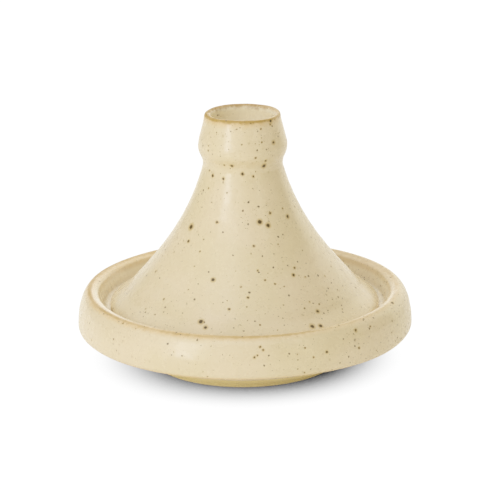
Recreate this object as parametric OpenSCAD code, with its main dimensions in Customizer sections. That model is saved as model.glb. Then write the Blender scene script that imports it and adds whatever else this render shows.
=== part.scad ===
// Glazed stoneware tagine: a wide dish with a thick raised rim, and a conical lid
// that stands loose on a ledge inside the rim. A cup-shaped knob closes the cone.
// Both pieces are turned about Z, and each is one fired body.
// The origin is the centre of the foot ring's resting face. All sizes are in mm.

/* [Dish] */
// Widest diameter of the dish
dish_d = 180; // [176:1:190]
// Height of the dish from its resting face to its lip
dish_h = 39.5; // [38:0.5:44]
// Diameter of the crown of the lip
lip_d = 165.5; // [164:0.5:168]
// Height of the rim's lower edge above the resting face
rim_bottom = 17.5; // [15:0.5:18.5]
// Depth of the lid's ledge below the lip
ledge_drop = 10.7; // [9.5:0.1:12.5]
// Diameter of the rim's inner wall where it meets the ledge
ledge_d = 152.8; // [151:0.2:154]
// Diameter of the cooking well below the ledge
well_d = 126; // [120:1:128]
// Thickness of the floor of the well
floor_t = 6.5; // [5:0.5:8]

/* [Foot] */
// Outer diameter of the foot ring
foot_d = 103; // [98:1:106]
// Height of the foot ring's outer side
foot_h = 2.8; // [2.2:0.2:3.4]
// Width of the foot ring
foot_w = 5.5; // [4:0.5:8]
// Depth of the recess inside the foot ring
recess_t = 3; // [2:0.5:4]

/* [Lid] */
// Diameter of the lid's rounded edge
lid_d = 144.8; // [142:0.2:146]
// Height of the lid from its seat to its mouth
lid_h = 107.1; // [100:0.1:120]
// Wall thickness of the cone
wall_t = 4.8; // [4:0.1:5.4]
// Diameter of the neck under the knob
neck_d = 42.7; // [41:0.1:45]

/* [Knob] */
// Height of the knob from the neck to the mouth
knob_h = 28.2; // [26:0.2:32]
// Widest diameter of the knob
belly_d = 47.6; // [46:0.2:50]
// Outer diameter of the knob's mouth
mouth_d = 40.8; // [39:0.2:43]
// Thickness of the knob's wall at the mouth
mouth_t = 3.6; // [3.2:0.1:4.2]
// Depth of the cup in the knob
cup_depth = 15; // [13:0.5:17]

/* [Hidden] */
$fn = 128;

glaze_colour = [0.86, 0.79, 0.65];

ledge_z = dish_h - ledge_drop;
floor_z = recess_t + floor_t;
mouth_z = ledge_z + lid_h;
neck_z = mouth_z - knob_h;
cup_z = mouth_z - cup_depth;

// --- curves in the [radius, height] plane -----------------------------------

// Points along an arc of the given radii, from angle a0 to angle a1.
function arc(centre, radii, a0, a1, steps = 8) =
    [for (i = [0:steps])
        let (a = a0 + (a1 - a0) * i / steps)
        centre + [radii[0] * cos(a), radii[1] * sin(a)]];

// Points along a cubic curve from a to d that leaves towards b and arrives from c.
function curve(a, b, c, d, steps = 10) =
    [for (i = [0:steps])
        let (t = i / steps, u = 1 - t)
        u * u * u * a + 3 * u * u * t * b + 3 * u * t * t * c + t * t * t * d];

// The same outline moved sideways by distance, to the left of its direction.
function shifted(outline, distance) =
    let (last = len(outline) - 1)
    [for (i = [0:last])
        let (along = outline[min(i + 1, last)] - outline[max(i - 1, 0)])
        outline[i] + distance * [-along[1], along[0]] / norm(along)];

function reversed(outline) = [for (i = [len(outline) - 1:-1:0]) outline[i]];

// The part of a rising outline that lies under a height.
function below(outline, height) = [for (p = outline) if (p[1] < height) p];

// --- dish ---------------------------------------------------------------------

foot_round = 0.7;
recess_chamfer = 1;

function foot() =
    let (
        outer_r = foot_d / 2,
        inner_r = outer_r - foot_w)
    concat(
        [[0, recess_t], [inner_r - recess_chamfer, recess_t]],
        arc([inner_r + foot_round, foot_round], [foot_round, foot_round], 180, 270, 4),
        arc([outer_r - foot_round, foot_round], [foot_round, foot_round], 270, 360, 4));

// The underside swings up from the foot and ends flat under the rim.
foot_flare = 0.3;
underside_reach = 14.5;
underside_rise = 1.7;
underside_flat = 12;

function underside() =
    let (
        foot_r = foot_d / 2,
        turn_r = foot_r + underside_reach)
    curve(
        [foot_r + foot_flare, foot_h],
        [turn_r, foot_h + underside_rise],
        [turn_r, rim_bottom],
        [dish_d / 2 - underside_flat, rim_bottom]);

// The rim is widest just above its lower edge and rolls in to the crown of the lip.
rim_corner = 3;

function rim_outside() =
    let (
        wide_r = dish_d / 2,
        wide_z = rim_bottom + rim_corner)
    concat(
        arc([wide_r - rim_corner, wide_z], [rim_corner, rim_corner], -90, 0, 6),
        arc([lip_d / 2, wide_z], [wide_r - lip_d / 2, dish_h - wide_z], 5, 90, 17));

// The lip slopes gently inwards from its crown, then turns down to a leaning wall and a
// hollow cove round the ledge.
crown_round = 2.6;
lip_slope = 18;
lip_width = 2.2;
lip_edge_round = 2.2;
wall_lean = 20;
ledge_cove = 3.4;

function rim_inside() =
    let (
        crown = [lip_d / 2, dish_h - crown_round],
        down_slope = [-cos(lip_slope), -sin(lip_slope)],
        across_slope = [-sin(lip_slope), cos(lip_slope)],
        edge = crown + lip_width * down_slope
            + (crown_round - lip_edge_round) * across_slope)
    concat(
        arc(crown, [crown_round, crown_round], 90 + lip_slope / 3, 90 + lip_slope, 2),
        arc(edge, [lip_edge_round, lip_edge_round], 90 + lip_slope, 180 - wall_lean, 6),
        arc([ledge_d / 2 - ledge_cove, ledge_z + ledge_cove],
            [ledge_cove, ledge_cove], -wall_lean, -90, 6));

well_edge = 1.5;
well_cove = 12;

function well() = concat(
    arc([well_d / 2 + well_edge, ledge_z - well_edge], [well_edge, well_edge],
        90, 180, 5),
    arc([well_d / 2 - well_cove, floor_z + well_cove], [well_cove, well_cove],
        0, -90, 10),
    [[0, floor_z]]);

module dish() {
    color(glaze_colour)
        rotate_extrude()
            polygon(concat(foot(), underside(), rim_outside(), rim_inside(), well()));
}

// --- lid ----------------------------------------------------------------------

// The seat is flat, and the edge outside it is rounded up into a short upright skirt.
edge_round = 2.2;
skirt_h = 2.8;
seat_w = 3.6;
seat_round = 1.5;

function skirt() =
    arc([lid_d / 2 - edge_round, ledge_z + edge_round], [edge_round, edge_round],
        -90, 0, 6);

// The shoulder is where the skirt turns onto the flank of the cone.
shoulder = [lid_d / 2 - 9.4, ledge_z + 10.9];
flank_slope = 46.8;
flank_dir = [-cos(flank_slope), sin(flank_slope)];
skirt_pull = 1.6;
shoulder_pull = 3.6;

function shoulder_turn() =
    let (skirt_top = [lid_d / 2, ledge_z + skirt_h])
    curve(
        skirt_top,
        skirt_top + [0, skirt_pull],
        shoulder - shoulder_pull * flank_dir,
        shoulder,
        8);

// The flank sweeps up to the neck and meets it leaning 15 degrees off upright.
neck = [neck_d / 2, neck_z];
neck_lean = 15;
neck_dir = [-sin(neck_lean), cos(neck_lean)];
flank_pull = 27.4;
neck_pull = 28.9;

function flank() = curve(
    shoulder,
    shoulder + flank_pull * flank_dir,
    neck - neck_pull * neck_dir,
    neck,
    24);

// The knob swells from the neck to its belly and draws in a little to its mouth.
// Each pull says how far its curve keeps upright as it leaves or reaches a point.
lip_round = [1.3, 1.7];
belly_rise = 10.8;
belly = [belly_d / 2, neck_z + belly_rise];
mouth = [mouth_d / 2, mouth_z - lip_round[1]];
knob_start = [0, 0.4];
up = [0, 1];
neck_up_pull = 5.9;
belly_low_pull = 5.2;
belly_high_pull = 3.2;
mouth_pull = [0.35, -3.8];

function knob() = concat(
    curve(neck + knob_start, neck + neck_up_pull * up, belly - belly_low_pull * up,
        belly, 8),
    curve(belly, belly + belly_high_pull * up, mouth + mouth_pull, mouth, 12));

function mouth_lip() =
    let (crown = mouth - [lip_round[0], 0])
    concat(
        arc(crown, lip_round, 15, 90, 5),
        arc(crown, [mouth_t - lip_round[0], lip_round[1]], 105, 180, 5));

// Inside the knob is a round-bottomed cup, a little wider under its mouth than at it.
cup_cove = 9;
cup_lip_h = 2.4;
cup_swell = 0.6;
cup_pull = 1.2;

function cup() =
    let (
        top = [mouth_d / 2 - mouth_t, mouth_z - cup_lip_h],
        side = [top[0] + cup_swell, cup_z + cup_cove])
    concat(
        curve(top, top - cup_pull * up, side + cup_pull * up, side),
        arc(side - [cup_cove, 0], [cup_cove, cup_cove], 0, -90),
        [[0, cup_z]]);

// The hollow follows the flank at one wall thickness, under a dome below the cup.
cup_floor_t = 6;
dome_h = 9;

function hollow() =
    let (
        crown_z = cup_z - cup_floor_t,
        wall = below(shifted(flank(), wall_t), crown_z - dome_h),
        spring = wall[len(wall) - 1])
    concat(
        reversed(arc([0, spring[1]], [spring[0], crown_z - spring[1]], 12, 90)),
        reversed(wall),
        arc([lid_d / 2 - edge_round - seat_w, ledge_z + seat_round],
            [seat_round, seat_round], 225, 270, 4));

module lid() {
    color(glaze_colour)
        rotate_extrude()
            polygon(concat(
                skirt(), shoulder_turn(), flank(), knob(), mouth_lip(), cup(), hollow()));
}

dish();
lid();
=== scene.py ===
"""Looks of a small glazed stoneware tagine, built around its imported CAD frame.

Each of the two fired pieces is turned again as one fine mesh from its CAD node's own half
section, with the slight unevenness of hand-made ware, and takes a procedural speckled glaze.
Everything is in metres, in the CAD frame: +Z up, the pot's axis at x = y = 0.
"""

import math
from collections import namedtuple

import bpy
import numpy as np
from mathutils import Matrix, Vector


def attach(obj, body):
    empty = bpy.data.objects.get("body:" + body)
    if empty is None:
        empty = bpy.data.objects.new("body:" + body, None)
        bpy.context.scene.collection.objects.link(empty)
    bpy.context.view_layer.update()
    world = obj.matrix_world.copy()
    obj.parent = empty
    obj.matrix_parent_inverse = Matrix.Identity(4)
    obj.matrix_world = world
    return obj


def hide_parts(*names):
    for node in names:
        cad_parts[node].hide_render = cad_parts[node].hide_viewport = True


MM = 0.001

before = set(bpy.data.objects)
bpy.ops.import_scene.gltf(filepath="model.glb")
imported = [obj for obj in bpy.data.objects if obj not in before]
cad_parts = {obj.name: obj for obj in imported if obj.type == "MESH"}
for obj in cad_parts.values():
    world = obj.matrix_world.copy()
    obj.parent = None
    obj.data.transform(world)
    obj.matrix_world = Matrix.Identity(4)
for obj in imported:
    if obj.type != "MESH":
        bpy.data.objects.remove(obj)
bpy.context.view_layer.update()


# --- camera ---------------------------------------------------------------------

CAMERA_AIM = Vector((0.53, 0, 62.5)) * MM
CAMERA_DISTANCE = 1377 * MM
CAMERA_ELEVATION = math.radians(17.03)
CAMERA_ROLL = math.radians(-0.63)
CAMERA_LENS = 188.45            # in millimetres, on a sensor that is CAMERA_SENSOR wide
CAMERA_SENSOR = 36
CAMERA_NEAR = 0.05              # nothing closer or farther than these is drawn
CAMERA_FAR = 60


def add_camera():
    data = bpy.data.cameras.new("camera")
    data.lens = CAMERA_LENS
    data.sensor_width = CAMERA_SENSOR
    data.clip_start = CAMERA_NEAR
    data.clip_end = CAMERA_FAR
    camera = bpy.data.objects.new("camera", data)
    back = Vector((0, -math.cos(CAMERA_ELEVATION), math.sin(CAMERA_ELEVATION)))
    turn = (-back).to_track_quat("-Z", "Y").to_matrix().to_4x4()
    camera.matrix_world = (
        Matrix.Translation(CAMERA_AIM + CAMERA_DISTANCE * back)
        @ turn
        @ Matrix.Rotation(CAMERA_ROLL, 4, "Z")
    )
    bpy.context.scene.collection.objects.link(camera)
    bpy.context.scene.camera = camera


# --- half sections --------------------------------------------------------------

CORNER = math.radians(30)       # a sharper turn than this is a corner, and not part of a curve
FINE_STEP = 0.1 * MM            # spacing of the smoothed half section
GLAZE_ROUNDING = 0.35 * MM      # how far glaze and sponging soften every corner
ROWS = 258                      # rings of vertices along a piece's half section
COLUMNS = 384                   # vertices round each ring
ROW_TURN = math.radians(8)      # rows lie closer where the section turns, one to each such turn
EVEN_ROWS = 1 / 60 + 1 / 22     # and where it runs straight, so many to each fine step
ON_PLANE = 1e-7                 # a vertex this close to the plane y = 0 lies on it


def half_section(node):
    """A CAD node's outline in the plane y = 0, as [radius, height] points from end to end."""
    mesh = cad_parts[node].data
    places = [
        (round(v.co.x, 6), round(v.co.z, 6))
        if abs(v.co.y) < ON_PLANE and v.co.x > -ON_PLANE
        else None
        for v in mesh.vertices
    ]
    beside = {}
    for edge in mesh.edges:
        a, b = (places[i] for i in edge.vertices)
        if a and b and a != b:
            beside.setdefault(a, set()).add(b)
            beside.setdefault(b, set()).add(a)
    ends = sorted((p for p in beside if len(beside[p]) == 1), key=lambda p: p[1])
    walked = [ends[0]]
    while walked[-1] != ends[-1]:
        walked += [p for p in beside[walked[-1]] if p not in walked[-2:]][:1]
    points = np.array(walked)
    if points[0, 0] > 0:
        points = np.vstack([[0, points[0, 1]], points])
    if points[-1, 0] > 0:
        points = np.vstack([points, [0, points[-1, 1]]])
    return points


def unit(vectors):
    return vectors / np.linalg.norm(vectors, axis=-1, keepdims=True)


def curved(points):
    """A line through the points that is smooth wherever they turn gently."""
    chords = np.diff(points, axis=0)
    ways = unit(chords)
    turns = np.arccos(np.clip((ways[1:] * ways[:-1]).sum(1), -1, 1))
    through = unit(points[2:] - points[:-2])
    corner = (turns > CORNER)[:, None]
    arriving = np.vstack([np.where(corner, ways[:-1], through), ways[-1:]])
    leaving = np.vstack([ways[:1], np.where(corner, ways[1:], through)])
    line = [points[:1]]
    for i, chord in enumerate(chords):
        length = np.linalg.norm(chord)
        t = np.linspace(0, 1, max(2, math.ceil(length / FINE_STEP)) + 1)[1:, None]
        line.append(
            points[i] * (1 + 2 * t) * (1 - t) ** 2
            + points[i + 1] * t**2 * (3 - 2 * t)
            + leaving[i] * length * t * (1 - t) ** 2
            + arriving[i] * length * t**2 * (t - 1)
        )
    return np.vstack(line)


def along(line):
    """The distance of each point from the line's start."""
    return np.append(0, np.linalg.norm(np.diff(line, axis=0), axis=1).cumsum())


def spaced(line, stations):
    """The points of a line at those distances from its start."""
    reached = along(line)
    return np.column_stack([np.interp(stations, reached, line[:, i]) for i in (0, 1)])


def softened(line):
    """The line with its corners rounded, mirrored about the axis so that it stays level there."""
    reached = along(line)[-1]
    even = spaced(line, np.linspace(0, reached, round(reached / FINE_STEP)))
    reach = round(4 * GLAZE_ROUNDING / FINE_STEP)
    weights = np.exp(-0.5 * (np.arange(-reach, reach + 1) * FINE_STEP / GLAZE_ROUNDING) ** 2)
    weights /= weights.sum()
    mirror = np.array([-1, 1])
    padded = np.vstack([
        even[reach:0:-1] * mirror,
        even,
        even[-2:-reach - 2:-1] * mirror,
    ])
    return np.column_stack([np.convolve(padded[:, i], weights, "valid") for i in (0, 1)])


def section_rows(line):
    """ROWS points of the line and the outward way at each, closest together where it turns."""
    ways = unit(np.gradient(line, axis=0))
    turn = np.abs(np.gradient(np.unwrap(np.arctan2(ways[:, 1], ways[:, 0]))))
    crowding = EVEN_ROWS + turn / ROW_TURN
    share = np.append(0, crowding[1:].cumsum())
    stations = np.interp(np.linspace(0, share[-1], ROWS), share, np.arange(len(line)))
    index = np.arange(len(line))
    points = np.column_stack([np.interp(stations, index, line[:, i]) for i in (0, 1)])
    ways = unit(np.column_stack([np.interp(stations, index, ways[:, i]) for i in (0, 1)]))
    return points, np.column_stack([ways[:, 1], -ways[:, 0]])


# --- turned pieces --------------------------------------------------------------

# Waves round a piece: how many there are and their height in millimetres.
LOBES = ((1, 0.03), (2, 0.12), (3, 0.10), (5, 0.05), (7, 0.04), (11, 0.02))
LOBE_DRIFT = 14 / 3             # how far a wave may wind round, in radians per metre and lobe
# Ripples along its section: their pitch and height in millimetres.
RIPPLES = ((9, 0.03), (5.3, 0.025), (3.1, 0.015))
TRUE_CENTRE = 12 * MM           # the waviness dies out within this radius
TRUE_CONTACT = 4 * MM           # there is none this close to a place that rests on something
WAVY_AGAIN = 14 * MM            # and all of it from this far on


def between(value, low, high):
    """0 below low, 1 above high and smooth between."""
    t = np.clip((value - low) / (high - low), 0, 1)
    return t * t * (3 - 2 * t)


def unevenness(angle, distance, seed):
    """The slow waviness of hand-made ware, in metres, round a piece and along its section."""
    chance = np.random.default_rng(seed)
    waves = np.zeros_like(angle * distance)
    for lobes, height in LOBES:
        phase = chance.uniform(0, 2 * math.pi)
        drift = chance.uniform(-LOBE_DRIFT, LOBE_DRIFT)
        waves += height * MM * np.sin(lobes * (angle + drift * distance) + phase)
    for pitch, height in RIPPLES:
        phase = chance.uniform(0, 2 * math.pi)
        waves += height * MM * np.sin(2 * math.pi * distance / (pitch * MM) + angle + phase)
    return waves


def turned_piece(name, node, line, body, contact, seed):
    """A smooth half section turned about Z as one fine mesh that replaces its CAD node.

    contact lists the (radius, height) places, in millimetres, where the piece rests on
    something. There it stays true, so that nothing rocks, gapes or cuts in.
    """
    rows, outward = section_rows(line)
    distance = along(rows)[1:-1, None]
    rows, ends, outward = rows[1:-1], rows[[0, -1]], outward[1:-1]
    angle = np.linspace(0, 2 * math.pi, COLUMNS, endpoint=False)[None, :]
    swell = unevenness(angle, distance, seed) * between(rows[:, :1], 0, TRUE_CENTRE)
    for rest in contact:
        away = np.linalg.norm(rows - np.array(rest) * MM, axis=1)[:, None]
        swell = swell * between(away, TRUE_CONTACT, WAVY_AGAIN)
    radius = rows[:, :1] + swell * outward[:, :1]
    height = rows[:, 1:] + swell * outward[:, 1:]
    rings = np.stack(
        [radius * np.cos(angle), radius * np.sin(angle), height + 0 * angle], axis=-1
    )
    vertices = np.vstack([rings.reshape(-1, 3), [[0, 0, ends[0, 1]], [0, 0, ends[1, 1]]]])
    last = len(rows) - 1
    first_pole = len(rows) * COLUMNS
    faces = []
    for j in range(COLUMNS):
        k = (j + 1) % COLUMNS
        faces.append((first_pole, k, j))
        faces.append((first_pole + 1, last * COLUMNS + j, last * COLUMNS + k))
        for i in range(0, last * COLUMNS, COLUMNS):
            faces.append((i + j, i + k, i + COLUMNS + k, i + COLUMNS + j))
    mesh = bpy.data.meshes.new(name)
    mesh.from_pydata(vertices.tolist(), [], faces)
    mesh.shade_smooth()
    piece = bpy.data.objects.new(name, mesh)
    bpy.context.scene.collection.objects.link(piece)
    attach(piece, body)
    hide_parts(node)
    return piece


# --- shader graph helpers -------------------------------------------------------

# Which of a mix node's sockets are for colours.
COLOUR_SHARE, COLOUR_A, COLOUR_B, COLOUR_RESULT = 0, 6, 7, 2


class Graph:
    """Shader nodes by short calls, which take numbers or the outputs of other nodes.

    node returns the node that it makes, and every other call returns an output.
    """

    def __init__(self, tree):
        self.tree = tree

    def node(self, kind, inputs, **settings):
        made = self.tree.nodes.new(kind)
        for name, value in settings.items():
            setattr(made, name, value)
        for key, value in inputs.items():
            if isinstance(value, bpy.types.NodeSocket):
                self.tree.links.new(value, made.inputs[key])
            else:
                made.inputs[key].default_value = value
        return made

    def math(self, operation, *values):
        return self.node("ShaderNodeMath", dict(enumerate(values)), operation=operation).outputs[0]

    def vector(self, operation, *values):
        made = self.node("ShaderNodeVectorMath", dict(enumerate(values)), operation=operation)
        return made.outputs["Value" if operation in ("LENGTH", "DISTANCE") else "Vector"]

    def scaled(self, vector, factor):
        made = self.node("ShaderNodeVectorMath", {0: vector, "Scale": factor}, operation="SCALE")
        return made.outputs["Vector"]

    def fade(self, value, start, end, low=0.0, high=1.0):
        """low up to start, high from end on, and smooth between."""
        made = self.node(
            "ShaderNodeMapRange",
            {"Value": value, "From Min": start, "From Max": end, "To Min": low, "To Max": high},
            interpolation_type="SMOOTHSTEP",
        )
        return made.outputs[0]

    def noise(self, point, size, detail=2.0, roughness=0.5):
        """Clouds from about 0.3 to 0.7, with blotches of about that size in metres."""
        inputs = {"Vector": point, "Scale": 1 / size, "Detail": detail, "Roughness": roughness}
        return self.node("ShaderNodeTexNoise", inputs).outputs["Fac"]

    def mix(self, share, first, second):
        """first where share is 0 and second where it is 1, both colours."""
        inputs = {COLOUR_SHARE: share, COLOUR_A: first, COLOUR_B: second}
        made = self.node("ShaderNodeMix", inputs, data_type="RGBA", clamp_factor=True)
        return made.outputs[COLOUR_RESULT]

    def total(self, *values):
        """The sum of all values."""
        sum_so_far = values[0]
        for value in values[1:]:
            sum_so_far = self.math("ADD", sum_so_far, value)
        return sum_so_far

    def most(self, *values):
        """The largest of all values."""
        top = values[0]
        for value in values[1:]:
            top = self.math("MAXIMUM", top, value)
        return top


# --- glaze ----------------------------------------------------------------------

GLAZE = (0.70, 0.57, 0.365, 1)
GLAZE_THICK = (0.67, 0.55, 0.33, 1)
GLAZE_THIN = (0.64, 0.44, 0.205, 1)     # pinkish, where the glaze draws off an edge
GLAZE_PAINTED_LIGHT = (0.85, 0.765, 0.56, 1)   # paler: painted light in a hollow, fading darker towards its bottom
EDGE_BROWN = (0.39, 0.235, 0.045, 1)    # iron showing where an edge breaks through
EDGE_FAR_SHADED = (0.30, 0.155, 0.01, 1)      # the same, darker: painted shade for the far side, against the sheen there
CLAY = (0.78, 0.64, 0.30, 1)
IRON_DARK = (0.07, 0.04, 0.0, 1)
IRON_TAN = (0.20, 0.12, 0.005, 1)
IRON_HALO = (0.40, 0.24, 0.02, 1)       # stain round the larger specks

# Sizes of the random patterns.
CLOUDS = 32 * MM                # thicker and thinner glaze
STRETCHES = 30 * MM             # more and less brown along an edge
PATCHES = 26 * MM               # where specks crowd together
RIPPLING = 8 * MM               # slow relief of the glaze
DULLNESS = 7 * MM               # more and less gloss
RAGGED = 2.6 * MM               # the uneven limit of a brown edge and of the bare clay
PEEL = 2.2 * MM                 # orange peel
STIR = 1.1 * MM                 # the uneven outline of a speck
GRAIN = 0.9 * MM                # fine grain in the glaze's colour
SAND = 0.5 * MM                 # grain of the bare clay

# Heights of the relief.
RIPPLING_HEIGHT = 0.09 * MM
PEEL_HEIGHT = 0.03 * MM
SPECK_DEPTH = 0.03 * MM
SAND_HEIGHT = 0.05 * MM

# Random specks: the spacing of their pattern, then their smallest and largest radius, all in
# millimetres, and the share of the pattern's cells that hold one.
SpeckLayer = namedtuple("SpeckLayer", "cell smallest largest kept")
FINE_SPECKS = SpeckLayer(1.25, 0.13, 0.29, 0.50)
SMALL_SPECKS = SpeckLayer(2.6, 0.30, 0.68, 0.58)
PALE_SPECKS = SpeckLayer(3.4, 0.40, 0.90, 0.40)
LARGE_SPECKS = SpeckLayer(4.6, 0.45, 0.95, 0.42)    # only behind, where none are placed
BEHIND = (-5 * MM, 20 * MM)     # how far towards +Y those start, and are as many as they get
STIR_REACH = 0.9 * MM           # how far a speck's outline is stirred
CROWD_TILT = 6.5                # how much thicker specks lie for each metre towards +X
CROWD_LEAST = 0.2

# Placed specks.
SPECK_GROWTH = 1.2              # how much wider a speck is than its listed radius
NO_SPECK = 100.0                # a distance, in speck radii, at which nothing of one is left
SAME_LEVEL = 0.3 * MM           # points of an outline count as one height within this
STAIN_SHARE = 0.55

# A ring where the glaze breaks to brown: its radius, height and width in millimetres, how
# brown it gets, and where its middle lies in x and y, a little off the axis.
Edge = namedtuple("Edge", "radius height width strength centre")
# How much distances from a ring are pressed on its far side, which widens its brown there as
# painted shade against the sheen.
FAR_PRESS = 0.58
# Within this radius and from lowest to highest, all in millimetres, paler glaze is painted as
# light in a hollow, and share says how much near the top; lower down it fades to painted shade.
PaintedLightHollow = namedtuple("PaintedLightHollow", "radius lowest highest share")

SATIN = (0.22, 0.33)            # roughness of the glaze, least and most
SPECK_DULLING = 0.25            # how much rougher specks and brown edges are
CLAY_DULLING = 0.40             # and the bare clay
GLAZE_IOR = 1.55


class Place:
    """Where a point of a piece lies, as outputs of a shader graph."""

    def __init__(self, graph, shift):
        self.point = graph.node("ShaderNodeTexCoord", {}).outputs["Object"]
        self.shifted = graph.vector("ADD", self.point, shift)
        self.x, self.y, self.height = graph.node(
            "ShaderNodeSeparateXYZ", {0: self.point}
        ).outputs
        self.level = graph.vector("MULTIPLY", self.point, (1, 1, 0))
        self.radius = graph.vector("LENGTH", self.level)
        self.far = graph.math("DIVIDE", self.y, graph.math("MAXIMUM", self.radius, MM))
        self.ragged = graph.noise(self.shifted, RAGGED, 4.0, 0.6)


def speck_layer(graph, point, layer, crowd):
    """Round specks in a random pattern: how strong they are, and a random tone for each."""
    pattern = graph.node(
        "ShaderNodeTexVoronoi", {"Vector": point, "Scale": 1 / (layer.cell * MM)}, feature="F1"
    )
    chance = graph.node("ShaderNodeSeparateColor", {0: pattern.outputs["Color"]})
    squared = graph.math("MULTIPLY", chance.outputs[0], chance.outputs[0])
    radius = graph.node(
        "ShaderNodeMapRange",
        {
            "Value": squared,
            "To Min": layer.smallest / layer.cell,
            "To Max": layer.largest / layer.cell,
        },
    ).outputs[0]
    relative = graph.math("DIVIDE", pattern.outputs["Distance"], radius)
    kept = graph.math("MULTIPLY", crowd, layer.kept)
    held = graph.math("LESS_THAN", chance.outputs[1], kept)
    strength = graph.math("MULTIPLY", graph.fade(relative, 0.55, 1.15, 1.0, 0.0), held)
    return strength, chance.outputs[2]


def placed_specks(graph, point, line, specks):
    """Specks at chosen places on a piece's outside: how strong they and their stains are.

    Each speck is (angle, height, radius), and line is the piece's half section.
    """
    nearest = NO_SPECK
    for angle, height, size in specks:
        turn = math.radians(angle)
        level = np.abs(line[:, 1] - height * MM) < SAME_LEVEL
        reach = line[level, 0].max()
        centre = (reach * math.sin(turn), -reach * math.cos(turn), height * MM)
        away = graph.vector("DISTANCE", point, centre)
        relative = graph.math("DIVIDE", away, size * SPECK_GROWTH * MM)
        nearest = graph.math("MINIMUM", nearest, relative)
    core = graph.fade(nearest, 0.75, 1.45, 1.0, 0.0)
    stain = graph.fade(nearest, 1.0, 2.8, 1.0, 0.0)
    return core, stain


class Specks:
    """All the iron specks of a piece, as outputs of a shader graph."""

    def __init__(self, graph, place, line, placed):
        # Their places are stirred a little, so that no speck is a clean circle.
        stir = graph.node(
            "ShaderNodeTexNoise", {"Vector": place.shifted, "Scale": 1 / STIR, "Detail": 2.0}
        )
        offset = graph.vector("SUBTRACT", stir.outputs["Color"], (0.5, 0.5, 0.5))
        offset = graph.scaled(offset, STIR_REACH)
        stirred = graph.vector("ADD", place.shifted, offset)

        # They crowd together in patches, and lie thicker towards +X.
        patches = graph.noise(place.shifted, PATCHES, 3.0)
        crowd = graph.math(
            "ADD",
            graph.fade(patches, 0.40, 0.62, 0.35, 1.25),
            graph.math("MULTIPLY", place.x, CROWD_TILT),
        )
        crowd = graph.math("MAXIMUM", crowd, CROWD_LEAST)
        crowd_behind = graph.math("MULTIPLY", crowd, graph.fade(place.y, *BEHIND))

        self.fine, self.fine_tone = speck_layer(graph, stirred, FINE_SPECKS, crowd)
        self.small, self.small_tone = speck_layer(graph, stirred, SMALL_SPECKS, crowd)
        self.pale, self.pale_tone = speck_layer(graph, stirred, PALE_SPECKS, crowd)
        self.large, self.large_tone = speck_layer(graph, stirred, LARGE_SPECKS, crowd_behind)
        self.placed, self.stain = placed_specks(
            graph, graph.vector("ADD", place.point, offset), line, placed
        )

    def coloured(self, graph, colour):
        """A colour with the specks on it."""
        fine_colour = graph.mix(graph.fade(self.fine_tone, 0.2, 0.9), IRON_DARK, IRON_TAN)
        small_colour = graph.mix(graph.fade(self.small_tone, 0.35, 0.9), IRON_DARK, IRON_TAN)
        pale_share = graph.fade(self.pale_tone, 0.0, 1.0, 0.05, 0.30)
        large_share = graph.fade(self.large_tone, 0.0, 1.0, 0.6, 0.98)
        colour = graph.mix(graph.math("MULTIPLY", self.pale, pale_share), colour, IRON_TAN)
        colour = graph.mix(graph.math("MULTIPLY", self.fine, 0.75), colour, fine_colour)
        colour = graph.mix(graph.math("MULTIPLY", self.small, 0.92), colour, small_colour)
        colour = graph.mix(graph.math("MULTIPLY", self.large, large_share), colour, IRON_DARK)
        colour = graph.mix(graph.math("MULTIPLY", self.stain, STAIN_SHARE), colour, IRON_HALO)
        return graph.mix(self.placed, colour, IRON_DARK)


def edge_shares(graph, place, edges):
    """How thin the glaze is near its edges, and how brown it gets on them.

    A ring is wider on the far side, where distances from it are pressed together: painted shade
    that holds its brown against the sheen there.
    """
    pressed = graph.fade(place.far, -0.2, 0.5, 1.0, FAR_PRESS)
    thin_parts, brown_parts = [], []
    for edge in edges:
        moved = graph.vector(
            "SUBTRACT", place.level, (edge.centre[0] * MM, edge.centre[1] * MM, 0)
        )
        off_axis = graph.vector("LENGTH", moved)
        section = graph.node("ShaderNodeCombineXYZ", {0: off_axis, 2: place.height})
        ring = (edge.radius * MM, 0, edge.height * MM)
        away = graph.vector("DISTANCE", section.outputs[0], ring)
        away = graph.math("MULTIPLY", away, pressed)
        width = edge.width * MM
        uneven = graph.math("MULTIPLY_ADD", place.ragged, 1.6 * width, away)
        thin_parts.append(graph.fade(uneven, 1.2 * width, 3.4 * width, 1.0, 0.0))
        brown_parts.append(graph.fade(uneven, 0.9 * width, 1.9 * width, edge.strength, 0.0))
    thin_share = graph.fade(place.x, -40 * MM, 60 * MM, 0.95, 0.45)
    stretches = graph.noise(place.shifted, STRETCHES, 2.0)
    brown_share = graph.math(
        "MULTIPLY",
        graph.fade(stretches, 0.34, 0.62, 0.60, 1.0),
        graph.fade(place.x, 10 * MM, 70 * MM, 1.0, 0.65),
    )
    return (
        graph.math("MULTIPLY", graph.most(*thin_parts), thin_share),
        graph.math("MULTIPLY", graph.most(*brown_parts), brown_share),
    )


def painted_light_share(graph, place, lit_hollow):
    """How much paler glaze is painted as light in the hollow: more towards its top, and ending
    there.
    """
    rim = (lit_hollow.highest - 2) * MM
    inside = graph.fade(place.radius, (lit_hollow.radius - 0.8) * MM, lit_hollow.radius * MM, 1.0, 0.0)
    under = graph.fade(place.height, rim, lit_hollow.highest * MM, 1.0, 0.0)
    rising = graph.fade(place.height, lit_hollow.lowest * MM, rim, 0.0, lit_hollow.share)
    return graph.math("MULTIPLY", inside, graph.math("MULTIPLY", under, rising))


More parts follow.
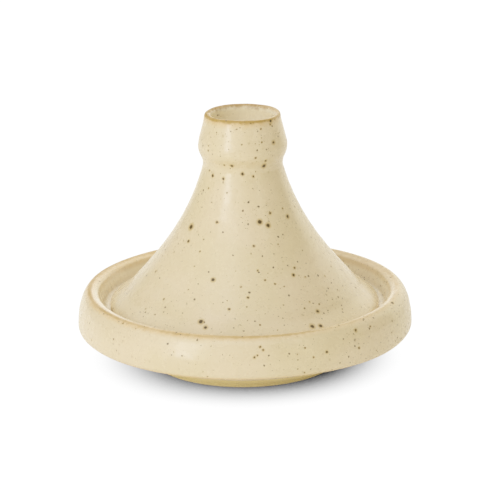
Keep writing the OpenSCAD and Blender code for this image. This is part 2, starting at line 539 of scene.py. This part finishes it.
def glaze_colour(graph, place, edges, far_brown, lit_hollow):
    """The glaze's colour without specks, with paler glaze painted as light in a hollow, and how
    brown it is.

    far_brown is the brown of its edges on the far side, towards +Y; where it is darker than
    EDGE_BROWN, that is painted shade against the sheen there.
    """
    clouds = graph.noise(place.shifted, CLOUDS, 4.0)
    colour = graph.mix(graph.fade(clouds, 0.35, 0.65), GLAZE, GLAZE_THICK)
    grain = graph.noise(place.shifted, GRAIN, 3.0, 0.65)
    colour = graph.mix(graph.fade(grain, 0.25, 0.75, 0.0, 0.16), colour, GLAZE_THIN)
    thin, brown = edge_shares(graph, place, edges)
    colour = graph.mix(thin, colour, GLAZE_THIN)
    # Paler glaze painted as light in the hollow, darker towards its bottom.
    colour = graph.mix(painted_light_share(graph, place, lit_hollow), colour, GLAZE_PAINTED_LIGHT)
    far_side = graph.fade(place.far, 0.1, 0.7)
    # On the far side the edges take far_brown, which on the lid is darker: painted shade against
    # the sheen there.
    return graph.mix(brown, colour, graph.mix(far_side, EDGE_BROWN, far_brown)), brown


def glaze(name, line, edges, far_brown, lit_hollow, bare, specks, shift):
    """Satin cream glaze with iron specks, for the piece whose half section is line.

    edges lists its Edges, and lit_hollow is its PaintedLightHollow, where paler glaze is painted
    as light. bare is a function of graph and Place that says where the clay shows. specks lists
    the placed specks. shift moves the random patterns, so that two pieces don't carry the same
    specks.
    """
    material = bpy.data.materials.new(name)
    material.use_nodes = True
    graph = Graph(material.node_tree)
    graph.tree.nodes.clear()
    place = Place(graph, shift)
    iron = Specks(graph, place, line, specks)
    clay = bare(graph, place)
    sand = graph.noise(place.shifted, SAND, 3.0, 0.7)

    colour, brown = glaze_colour(graph, place, edges, far_brown, lit_hollow)
    colour = iron.coloured(graph, colour)
    clay_colour = graph.mix(graph.fade(sand, 0.3, 0.7, 0.0, 0.35), CLAY, EDGE_BROWN)
    colour = graph.mix(clay, colour, clay_colour)

    # Gloss: satin, uneven, a little duller on specks and brown edges, and dull on the clay.
    roughness = graph.fade(graph.noise(place.shifted, DULLNESS, 5.0, 0.6), 0.3, 0.7, *SATIN)
    duller = graph.most(iron.placed, iron.large, iron.small, brown)
    roughness = graph.math("MULTIPLY_ADD", duller, SPECK_DULLING, roughness)
    roughness = graph.math("MULTIPLY_ADD", clay, CLAY_DULLING, roughness)

    pits = graph.most(iron.placed, iron.large, iron.small, iron.fine)
    relief = graph.total(
        graph.math("MULTIPLY", graph.noise(place.shifted, PEEL, 3.0), PEEL_HEIGHT),
        graph.math("MULTIPLY", graph.noise(place.shifted, RIPPLING, 2.0), RIPPLING_HEIGHT),
        graph.math("MULTIPLY", pits, -SPECK_DEPTH),
        graph.math("MULTIPLY", graph.math("MULTIPLY", sand, clay), SAND_HEIGHT),
    )
    bump = graph.node("ShaderNodeBump", {"Height": relief, "Distance": 1.0, "Strength": 1.0})
    shader = graph.node(
        "ShaderNodeBsdfPrincipled",
        {"Base Color": colour, "Roughness": roughness, "Normal": bump.outputs[0]},
    )
    shader.inputs["IOR"].default_value = GLAZE_IOR
    graph.node("ShaderNodeOutputMaterial", {"Surface": shader.outputs[0]})
    return material


# --- studio ---------------------------------------------------------------------

PAPER = (0.93, 0.91, 0.84, 1)
PAPER_GLOW = 0.1
WHITE = (1, 1, 1, 1)


def white_paper():
    """Matt warm white, a little lit from within."""
    material = bpy.data.materials.new("white_paper")
    material.use_nodes = True
    graph = Graph(material.node_tree)
    graph.tree.nodes.clear()
    paper = graph.node("ShaderNodeBsdfDiffuse", {"Color": PAPER})
    shine = graph.node("ShaderNodeEmission", {"Color": WHITE, "Strength": PAPER_GLOW})
    both = graph.node("ShaderNodeAddShader", {0: paper.outputs[0], 1: shine.outputs[0]})
    graph.node("ShaderNodeOutputMaterial", {"Surface": both.outputs[0]})
    return material


SHADOW_LEAN = (-0.05, -0.06, 1)     # the soft shadow lies a little behind and to the right
SHADOW_CORE = 0.07              # share of open sky at which the shadow is black
SHADOW_FALL = 8.7               # how fast it clears from there
SHADOW_SAMPLES = 64
SHADOW_WHITE = 1.06             # just brighter than white, so that it burns out


def pure_white(shadowed):
    """White all over. Where it is shadowed, it greys as the pot hides the sky from it."""
    material = bpy.data.materials.new("shadowed_white" if shadowed else "pure_white")
    material.use_nodes = True
    graph = Graph(material.node_tree)
    graph.tree.nodes.clear()
    shine = graph.node("ShaderNodeEmission", {"Color": WHITE, "Strength": SHADOW_WHITE})
    if shadowed:
        lean = graph.node("ShaderNodeCombineXYZ", dict(enumerate(SHADOW_LEAN))).outputs[0]
        lean = graph.vector("NORMALIZE", lean)
        sky = graph.node(
            "ShaderNodeAmbientOcclusion", {"Normal": lean}, samples=SHADOW_SAMPLES
        ).outputs["AO"]
        fall = graph.math("MULTIPLY_ADD", sky, -SHADOW_FALL, SHADOW_FALL * SHADOW_CORE)
        shade = graph.math("EXPONENT", fall)
        light = graph.math("MULTIPLY_ADD", shade, -SHADOW_WHITE, SHADOW_WHITE)
        light = graph.math("MAXIMUM", light, 0.0)
        graph.tree.links.new(light, shine.inputs["Strength"])
    graph.node("ShaderNodeOutputMaterial", {"Surface": shine.outputs[0]})
    return material


def add_stage_piece(name, vertices, faces, material):
    mesh = bpy.data.meshes.new(name)
    mesh.from_pydata(vertices, [], faces)
    mesh.materials.append(material)
    piece = bpy.data.objects.new(name, mesh)
    bpy.context.scene.collection.objects.link(piece)
    return piece


def show_only_to_camera(piece):
    for ray in ("diffuse", "glossy", "transmission", "shadow"):
        setattr(piece, "visible_" + ray, False)


FLOOR_REACH = 12
SEEN_FLOOR = 0.02 * MM          # height of the sheet that the camera sees
BACKDROP_RADIUS = 9
BACKDROP_SIDES = 32
BACKDROP_RINGS = 16


def add_floor():
    """A white floor that burns out to pure white round the pot, as in a catalogue.

    The pot stands on the sheet of paper that lights it from below. The sheet that the camera
    sees lies on that one, and shows just the soft grey shadow.
    """
    for name, height, material in (
        ("paper_floor", 0, white_paper()),
        ("seen_floor", SEEN_FLOOR, pure_white(shadowed=True)),
    ):
        corners = [(-1, -1), (1, -1), (1, 1), (-1, 1)]
        sheet = add_stage_piece(
            name,
            [(FLOOR_REACH * x, FLOOR_REACH * y, height) for x, y in corners],
            [(0, 1, 2, 3)],
            material,
        )
        if name == "seen_floor":
            show_only_to_camera(sheet)
        else:
            sheet.visible_camera = False


def add_backdrop():
    """White all round behind the pot, seen by the camera alone."""
    vertices, faces = [], []
    for i in range(BACKDROP_RINGS + 1):
        tilt = math.pi * i / BACKDROP_RINGS
        for j in range(BACKDROP_SIDES):
            turn = 2 * math.pi * j / BACKDROP_SIDES
            vertices.append((
                BACKDROP_RADIUS * math.sin(tilt) * math.cos(turn),
                BACKDROP_RADIUS * math.sin(tilt) * math.sin(turn),
                BACKDROP_RADIUS * math.cos(tilt),
            ))
    for i in range(BACKDROP_RINGS):
        upper, lower = i * BACKDROP_SIDES, (i + 1) * BACKDROP_SIDES
        for j in range(BACKDROP_SIDES):
            k = (j + 1) % BACKDROP_SIDES
            faces.append((upper + j, upper + k, lower + k, lower + j))
    show_only_to_camera(
        add_stage_piece("backdrop", vertices, faces, pure_white(shadowed=False))
    )


FILM_SHOULDER = 1.5             # how hard the bright tones are pressed together
FILM_POINTS = 8
ALL_CHANNELS = 3                # the curve that acts on red, green and blue alike


def film(light):
    """A camera's response: brighter tones are pressed together, and 1 stays 1."""
    return (1 - math.exp(-FILM_SHOULDER * light)) / (1 - math.exp(-FILM_SHOULDER))


def set_film():
    view = bpy.context.scene.view_settings
    view.view_transform = "Standard"
    view.use_curve_mapping = True
    curve = view.curve_mapping.curves[ALL_CHANNELS]
    for i in range(1, FILM_POINTS):
        curve.points.new(i / FILM_POINTS, film(i / FILM_POINTS))
    view.curve_mapping.update()


WORLD_TINT = (1.0, 0.95, 0.74, 1)
WORLD_STRENGTH = 0.23


def add_world():
    world = bpy.data.worlds.new("studio")
    world.use_nodes = True
    background = world.node_tree.nodes["Background"]
    background.inputs["Color"].default_value = WORLD_TINT
    background.inputs["Strength"].default_value = WORLD_STRENGTH
    bpy.context.scene.world = world


SOFTBOX_DISTANCE = 1.5
LIGHT_AIM = Vector((0, 0, 0.06))

# Each softbox: azimuth and elevation of its middle and its angular width and height, seen from
# the pot and in degrees, then its brightness, where 1 is about white, and its tint. Azimuth 0 is
# the camera's side, and it grows to the right. KEY_TINT is cool and BACK_TINT warm.
KEY_TINT = (0.96, 0.98, 1.08)
BACK_TINT = (1.0, 0.94, 0.82)
SOFTBOXES = {
    "key_wide": (-40, 14, 80, 30, 0.52, KEY_TINT),
    "key": (-40, 14, 40, 30, 0.75, KEY_TINT),
    "key_core": (-40, 15, 14, 32, 3.90, KEY_TINT),
    "key_high": (-35, 46, 32, 34, 0.85, KEY_TINT),
    "front_high": (-5, 46, 36, 34, 0.57, KEY_TINT),
    "left_high": (-80, 46, 32, 34, 0.45, KEY_TINT),
    "right_streak": (42, 22, 9, 46, 1.15, BACK_TINT),
    "back_left": (-165, 14, 40, 30, 0.45, KEY_TINT),
    "back_right": (132, 14, 26, 30, 1.00, BACK_TINT),
    "back": (165, 14, 40, 30, 0.90, BACK_TINT),
    "back_left_high": (-130, 46, 32, 34, 0.80, KEY_TINT),
    "back_high": (180, 46, 32, 34, 1.50, BACK_TINT),
    "back_right_high": (130, 46, 32, 34, 0.60, BACK_TINT),
    "top": (0, 90, 54, 54, 0.56, KEY_TINT),
}


def add_softbox(name, azimuth, elevation, width, height, brightness, tint):
    light = bpy.data.lights.new(name, "AREA")
    light.color = tint
    light.shape = "RECTANGLE"
    light.size = 2 * SOFTBOX_DISTANCE * math.tan(math.radians(width / 2))
    light.size_y = 2 * SOFTBOX_DISTANCE * math.tan(math.radians(height / 2))
    light.energy = math.pi * light.size * light.size_y * brightness
    box = bpy.data.objects.new(name, light)
    a, e = math.radians(azimuth), math.radians(elevation)
    way = Vector((math.sin(a) * math.cos(e), -math.cos(a) * math.cos(e), math.sin(e)))
    box.location = LIGHT_AIM + SOFTBOX_DISTANCE * way
    box.rotation_mode = "QUATERNION"
    box.rotation_quaternion = (-way).to_track_quat("-Z", "Y")
    box.visible_camera = False
    bpy.context.scene.collection.objects.link(box)


# --- the pot --------------------------------------------------------------------

SEAT_HEIGHT = 28.8              # of the ledge that the lid stands on, in millimetres

# The larger specks: angle from the front in degrees, positive to the right, then height and
# speck radius in millimetres.
LID_SPECKS = [
    (-57, 78.5, 0.95), (16, 84, 0.8), (24, 82, 0.75), (50, 84, 0.65), (-20, 57.5, 0.65),
    (-21, 39.5, 0.8), (-18, 37.5, 0.65), (38, 41, 0.6), (31, 36, 0.8), (35, 35.5, 0.7),
    (30, 111.5, 0.7), (45, 123.5, 0.6), (-47, 105.5, 0.5), (-15, 112.5, 0.5), (33, 58, 0.55),
    (-1, 108, 0.5), (-52, 72, 0.5), (-28, 105, 0.45), (29, 87.5, 0.45), (-27, 83.5, 0.45),
    (36, 61, 0.4), (31, 114.5, 0.4), (8, 73, 0.4), (-8, 45.5, 0.4), (2, 50.5, 0.4),
    (16, 117, 0.35), (-69, 54, 0.4), (-47, 45.5, 0.35), (14, 106.5, 0.35), (70, 55.5, 0.35),
    (70, 86.5, 0.35), (57, 53.5, 0.35), (-26, 112.5, 0.3), (-56, 107.5, 0.3), (-2, 55, 0.3),
    (-36, 69, 0.3), (9, 62, 0.3), (41, 56, 0.3), (13, 57.5, 0.3), (19, 55.5, 0.3),
    (36, 45.5, 0.3), (27, 131.5, 0.3), (-79, 31, 0.6), (47, 134.5, 0.6), (45, 133, 0.4),
]
DISH_SPECKS = [
    (41, 36, 0.5), (3, 30, 0.4), (28, 29, 0.45), (41, 27, 0.4), (5, 35, 0.35), (6, 33.5, 0.35),
    (4, 31, 0.3), (48, 35.5, 0.3), (-64, 23, 0.3), (23, 27.5, 0.3), (68, 39.4, 0.6),
]


def dish_clay(graph, place):
    """The clay is bare on the foot and round it, under the rim."""
    line = graph.math("MULTIPLY_ADD", place.ragged, 1.6 * MM, 7.0 * MM)
    above = graph.math("SUBTRACT", place.height, line)
    low = graph.fade(above, -0.35 * MM, 0.35 * MM, 1.0, 0.0)
    return graph.math("MULTIPLY", low, graph.fade(place.radius, 66 * MM, 68 * MM, 1.0, 0.0))


def lid_clay(graph, place):
    """The clay is bare on the flat seat of the lid."""
    line = graph.math("MULTIPLY_ADD", place.ragged, 0.6 * MM, SEAT_HEIGHT * MM)
    above = graph.math("SUBTRACT", place.height, line)
    return graph.fade(above, -0.1 * MM, 0.2 * MM, 1.0, 0.0)


def add_dish():
    line = softened(curved(half_section("dish")))
    contact = [(49, 0), (69, SEAT_HEIGHT)]
    dish = turned_piece("dish_stoneware", "dish", line, "dish", contact, seed=11)
    lip = Edge(82.7, 39.4, 1.5, 0.80, (-0.8, -1.0))
    rim_bottom = Edge(89.2, 18.0, 0.5, 0.30, (0, 0))
    dish.data.materials.append(
        glaze(
            "dish_glaze",
            line,
            edges=[lip, rim_bottom],
            far_brown=EDGE_BROWN,
            # Painted light inside the dish, from nothing at its floor to palest near the top of
            # its inner wall.
            lit_hollow=PaintedLightHollow(78.2, 9.0, 38.2, 0.5),
            bare=dish_clay,
            specks=DISH_SPECKS,
            shift=(0.31, 0.12, 0.05),
        )
    )


def add_lid():
    line = softened(curved(half_section("lid")))
    contact = [(68.4, SEAT_HEIGHT)]
    lid = turned_piece("lid_stoneware", "lid", line, "lid", contact, seed=23)
    mouth = Edge(19.3, 135.6, 1.9, 1.2, (0, -0.4))
    skirt = Edge(72.2, 30.0, 0.5, 0.35, (0, 0))
    lid.data.materials.append(
        glaze(
            "lid_glaze",
            line,
            edges=[mouth, skirt],
            # The mouth's far side is painted darker, as shade against the sheen there.
            far_brown=EDGE_FAR_SHADED,
            # Painted light in the knob's cup, from nothing low down to full near its mouth.
            lit_hollow=PaintedLightHollow(18.4, 118.0, 136.0, 1.0),
            bare=lid_clay,
            specks=LID_SPECKS,
            shift=(0.0, 0.0, 0.0),
        )
    )


set_film()
add_camera()
add_floor()
add_backdrop()
add_world()
for name, settings in SOFTBOXES.items():
    add_softbox(name, *settings)
add_dish()
add_lid()
